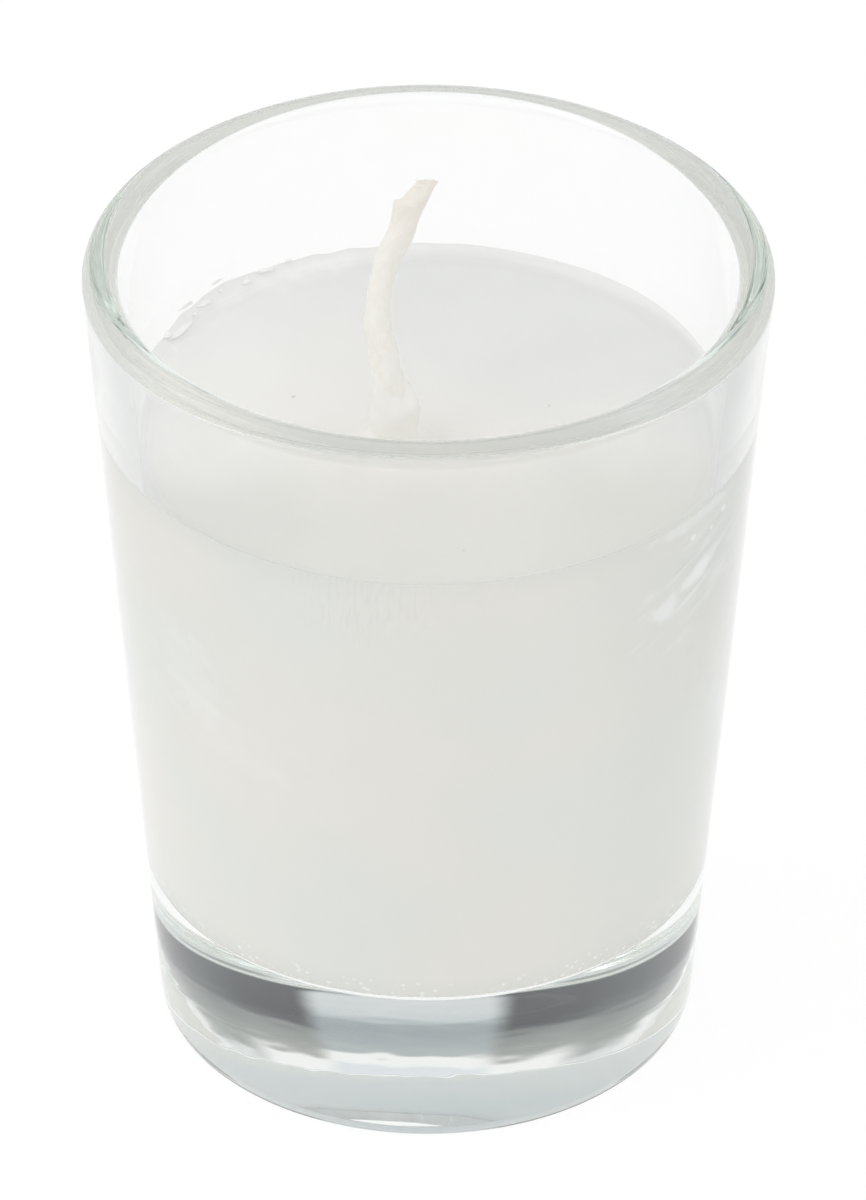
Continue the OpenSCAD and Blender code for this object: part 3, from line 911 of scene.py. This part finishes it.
cottonWick = makePiece("cottonWick", [wickSkin()] + strayFibres(), [wickMaterial()])
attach(cottonWick, "root")
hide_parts("wick")
print("wick made:", len(cottonWick.data.polygons), "faces")


# the wick sustainer is the solid itself, with a finish

steel = {"darkColour": (0.56, 0.57, 0.58, 1.0), "paleColour": (0.74, 0.745, 0.75, 1.0), "spangleSize": 2.4}


def tinnedSteel():
    material, tree, place = newMaterial("tinnedSteel")
    grain = noiseAt(tree, place, 0.5, 3.0, stretch=(1.0, 0.12, 1.0))
    spangle = noiseAt(tree, place, steel["spangleSize"], 2.0)
    colour = mixColours(tree, spangle, steel["darkColour"], steel["paleColour"])
    bump = addNode(tree, "Bump", {"Height": grain, "Strength": 0.2, "Distance": 0.00005})
    addShader(tree, {
        "Base Color": colour, "Metallic": 1.0, "Roughness": ease(tree, grain, 0.3, 0.7, 0.26, 0.42),
        "Normal": bump.outputs[0]})
    return material


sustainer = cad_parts["wick_sustainer"]
sustainer.data.materials.clear()
sustainer.data.materials.append(tinnedSteel())
print("sustainer finished")


# the studio

studio = {
    "floorColour": (0.90, 0.90, 0.90, 1.0), "floorGlow": 0.7, "glowStrength": 1.1, "floorSize": 6.0,
    "floorDrop": 0.02,        # millimetres below the glass, so that the two don't share a face
    "floorShadeRight": (0.62, 0.63, 0.625, 1.0), "floorShadeLeft": (0.72, 0.73, 0.725, 1.0),
    "roomLight": 0.84,
    # soft lamps: watts, width and place in metres. The left one is the stronger.
    "lamps": ((1.05, 0.6, (-0.6, -0.1, 0.75)), (0.3, 0.6, (0.6, -0.1, 0.75))),
    # what the glass mirrors, by degrees above the horizon: through the gaps between the four dark screens,
    # at the edges of the screens, and at their middles, which face the room's corners
    "throughGaps": (
        (14, 0.72, 0.73, 0.74), (24.5, 0.62, 0.65, 0.67), (27, 0.39, 0.43, 0.445),
        (30, 0.35, 0.385, 0.41), (38.6, 0.46, 0.49, 0.50), (40.1, 0.92, 0.92, 0.91),
        (42.3, 0.93, 0.93, 0.94), (45, 0.76, 0.79, 0.83), (50, 0.81, 0.83, 0.87),
        (57, 1.06, 1.06, 1.08)),
    "screenEdges": (
        (14, 0.76, 0.76, 0.71), (16.5, 0.12, 0.122, 0.13), (29, 0.09, 0.092, 0.098),
        (31, 0.14, 0.145, 0.15), (33.5, 0.27, 0.28, 0.28), (40, 0.37, 0.38, 0.37),
        (41.5, 0.47, 0.48, 0.47), (43.5, 0.92, 0.92, 0.92), (49, 0.95, 0.95, 0.96),
        (53, 0.88, 0.90, 0.94), (58, 1.06, 1.06, 1.08)),
    "screenMiddles": (
        (14, 0.76, 0.76, 0.71), (17, 0.13, 0.135, 0.14), (26, 0.115, 0.122, 0.13),
        (31, 0.15, 0.16, 0.165), (33.5, 0.23, 0.24, 0.24), (38, 0.28, 0.295, 0.29),
        (44, 0.35, 0.37, 0.365), (46, 0.42, 0.44, 0.44), (48, 0.68, 0.70, 0.71),
        (50, 0.84, 0.86, 0.88), (55, 0.92, 0.94, 0.96), (60, 1.06, 1.06, 1.08)),
    "screenTurn": 3.5,        # degrees, all four together
}


def seenStraight(tree, rays):
    # 1 for what the camera sees, also in a mirror or through glass, and 0 for what only gives light
    seen = plus(tree, rays.outputs["Is Camera Ray"], rays.outputs["Is Glossy Ray"])
    return mathNode(tree, "ADD", seen, rays.outputs["Is Transmission Ray"], clamp=True)


def makeFloor():
    half, low = studio["floorSize"], -studio["floorDrop"] * millimetre
    corners = [(-half, -half, low), (half, -half, low), (half, half, low), (-half, half, low)]
    mesh = bpy.data.meshes.new("studioFloor")
    mesh.from_pydata(corners, [], [(0, 1, 2, 3)])
    floor = addObject("studioFloor", mesh)
    material, tree, place = newMaterial("studioFloor")
    paper = addNode(tree, "BsdfDiffuse", {"Color": studio["floorColour"]})
    rays = addNode(tree, "LightPath")
    # straight on it is white. In the glass it is painted pale grey to both sides, a painted shade for the
    # screens that stand there.
    x = splitPlace(tree, place)[0]
    inGlass = mixColours(tree, ease(tree, x, 40.0, 75.0), white, studio["floorShadeRight"])
    inGlass = mixColours(tree, ease(tree, x, -75.0, -40.0, 1.0, 0.0), inGlass, studio["floorShadeLeft"])
    shade = mixColours(tree, rays.outputs["Is Camera Ray"], inGlass, white)
    glow = addNode(tree, "Emission", {"Color": shade, "Strength": studio["glowStrength"]})
    share = times(tree, seenStraight(tree, rays), studio["floorGlow"])
    shown = addNode(tree, "MixShader", {0: share, 1: paper.outputs[0], 2: glow.outputs[0]})
    addNode(tree, "OutputMaterial", {"Surface": shown.outputs[0]})
    mesh.materials.append(material)


def rampOf(tree, share, stops):
    # a colour ramp over 90 degrees
    ramp = addNode(tree, "ValToRGB", {"Fac": share})
    points = ramp.color_ramp.elements
    while len(points) < len(stops):
        points.new(1.0)
    for point, (degrees, *colour) in zip(points, stops):
        point.position = degrees / 90.0
        point.color = (*colour, 1.0)
    return ramp.outputs["Color"]


def makeWorld():
    # even room light for what it lights. What glass mirrors and bends is the same white room with low grey
    # screens at its four corners, as round a product table.
    world = bpy.data.worlds.new("studioRoom")
    bpy.context.scene.world = world
    world.use_nodes = True
    tree = world.node_tree
    tree.nodes.clear()
    heading = addNode(tree, "TexCoord").outputs["Generated"]
    turned = addNode(tree, "Mapping", {
        "Vector": heading, "Rotation": (0.0, 0.0, math.radians(studio["screenTurn"]))}, vector_type="POINT")
    x, y, z = splitPlace(tree, turned.outputs[0])
    # corner is half the sine of twice the angle off an axis: 0.25 at 15 degrees, 0.5 at 45
    flat = mathNode(tree, "MAXIMUM", plus(tree, times(tree, x, x), times(tree, y, y)), 0.0001)
    corner = mathNode(tree, "DIVIDE", mathNode(tree, "ABSOLUTE", times(tree, x, y)), flat)
    onScreen = ease(tree, corner, 0.21, 0.285)
    atMiddle = ease(tree, corner, 0.42, 0.495)
    height = times(tree, mathNode(tree, "ARCSINE", z), 180.0 / math.pi)
    share = mathNode(tree, "DIVIDE", height, 90.0, clamp=True)
    gaps, edges, middles = (
        rampOf(tree, share, studio[name]) for name in ("throughGaps", "screenEdges", "screenMiddles"))
    room = mixColours(tree, onScreen, gaps, edges)
    room = mixColours(tree, atMiddle, room, middles)
    rays = addNode(tree, "LightPath")
    seenDirect = mixColours(tree, rays.outputs["Is Camera Ray"], room, white)
    shown = addNode(tree, "Background", {"Color": seenDirect, "Strength": 1.0})
    light = addNode(tree, "Background", {"Color": white, "Strength": studio["roomLight"]})
    both = addNode(tree, "MixShader", {
        0: seenStraight(tree, rays), 1: light.outputs[0], 2: shown.outputs[0]})
    addNode(tree, "OutputWorld", {"Surface": both.outputs[0]})


def makeLamps():
    middle = Vector((0, 0, 0.04))    # half way up the candle, in metres as the lamps are
    for power, size, place in studio["lamps"]:
        data = bpy.data.lights.new("softbox", "AREA")
        data.shape = "SQUARE"
        data.size = size
        data.energy = power
        lamp = addObject("softbox", data)
        lamp.location = place
        lamp.rotation_mode = "QUATERNION"
        lamp.rotation_quaternion = (middle - lamp.location).to_track_quat("-Z", "Y")


makeFloor()
makeWorld()
makeLamps()


# the camera

view = {
    "aim": (0.404, 0.0, 35.13), "distance": 900.0, "elevation": 34.37, "roll": 0.0034, "lens": 363.77,
}


def makeCamera():
    tilt = math.radians(view["elevation"])
    back = Vector((0.0, -math.cos(tilt), math.sin(tilt)))
    right = Vector((1.0, 0.0, 0.0))
    up = back.cross(right)
    c, s = math.cos(view["roll"]), math.sin(view["roll"])
    axes = Matrix((c * right + s * up, c * up - s * right, back)).transposed()
    place = (Vector(view["aim"]) + back * view["distance"]) * millimetre
    data = bpy.data.cameras.new("camera")
    data.lens = view["lens"]
    data.sensor_width = 36.0
    data.clip_start, data.clip_end = 0.05, 30.0
    camera = addObject("camera", data)
    camera.matrix_world = Matrix.Translation(place) @ axes.to_4x4()
    bpy.context.scene.camera = camera


makeCamera()
scene = bpy.context.scene
scene.view_settings.view_transform = "Standard"
scene.cycles.max_bounces = 20
scene.cycles.transmission_bounces = 20
scene.cycles.glossy_bounces = 20
scene.cycles.transparent_max_bounces = 16
print("studio and camera ready")
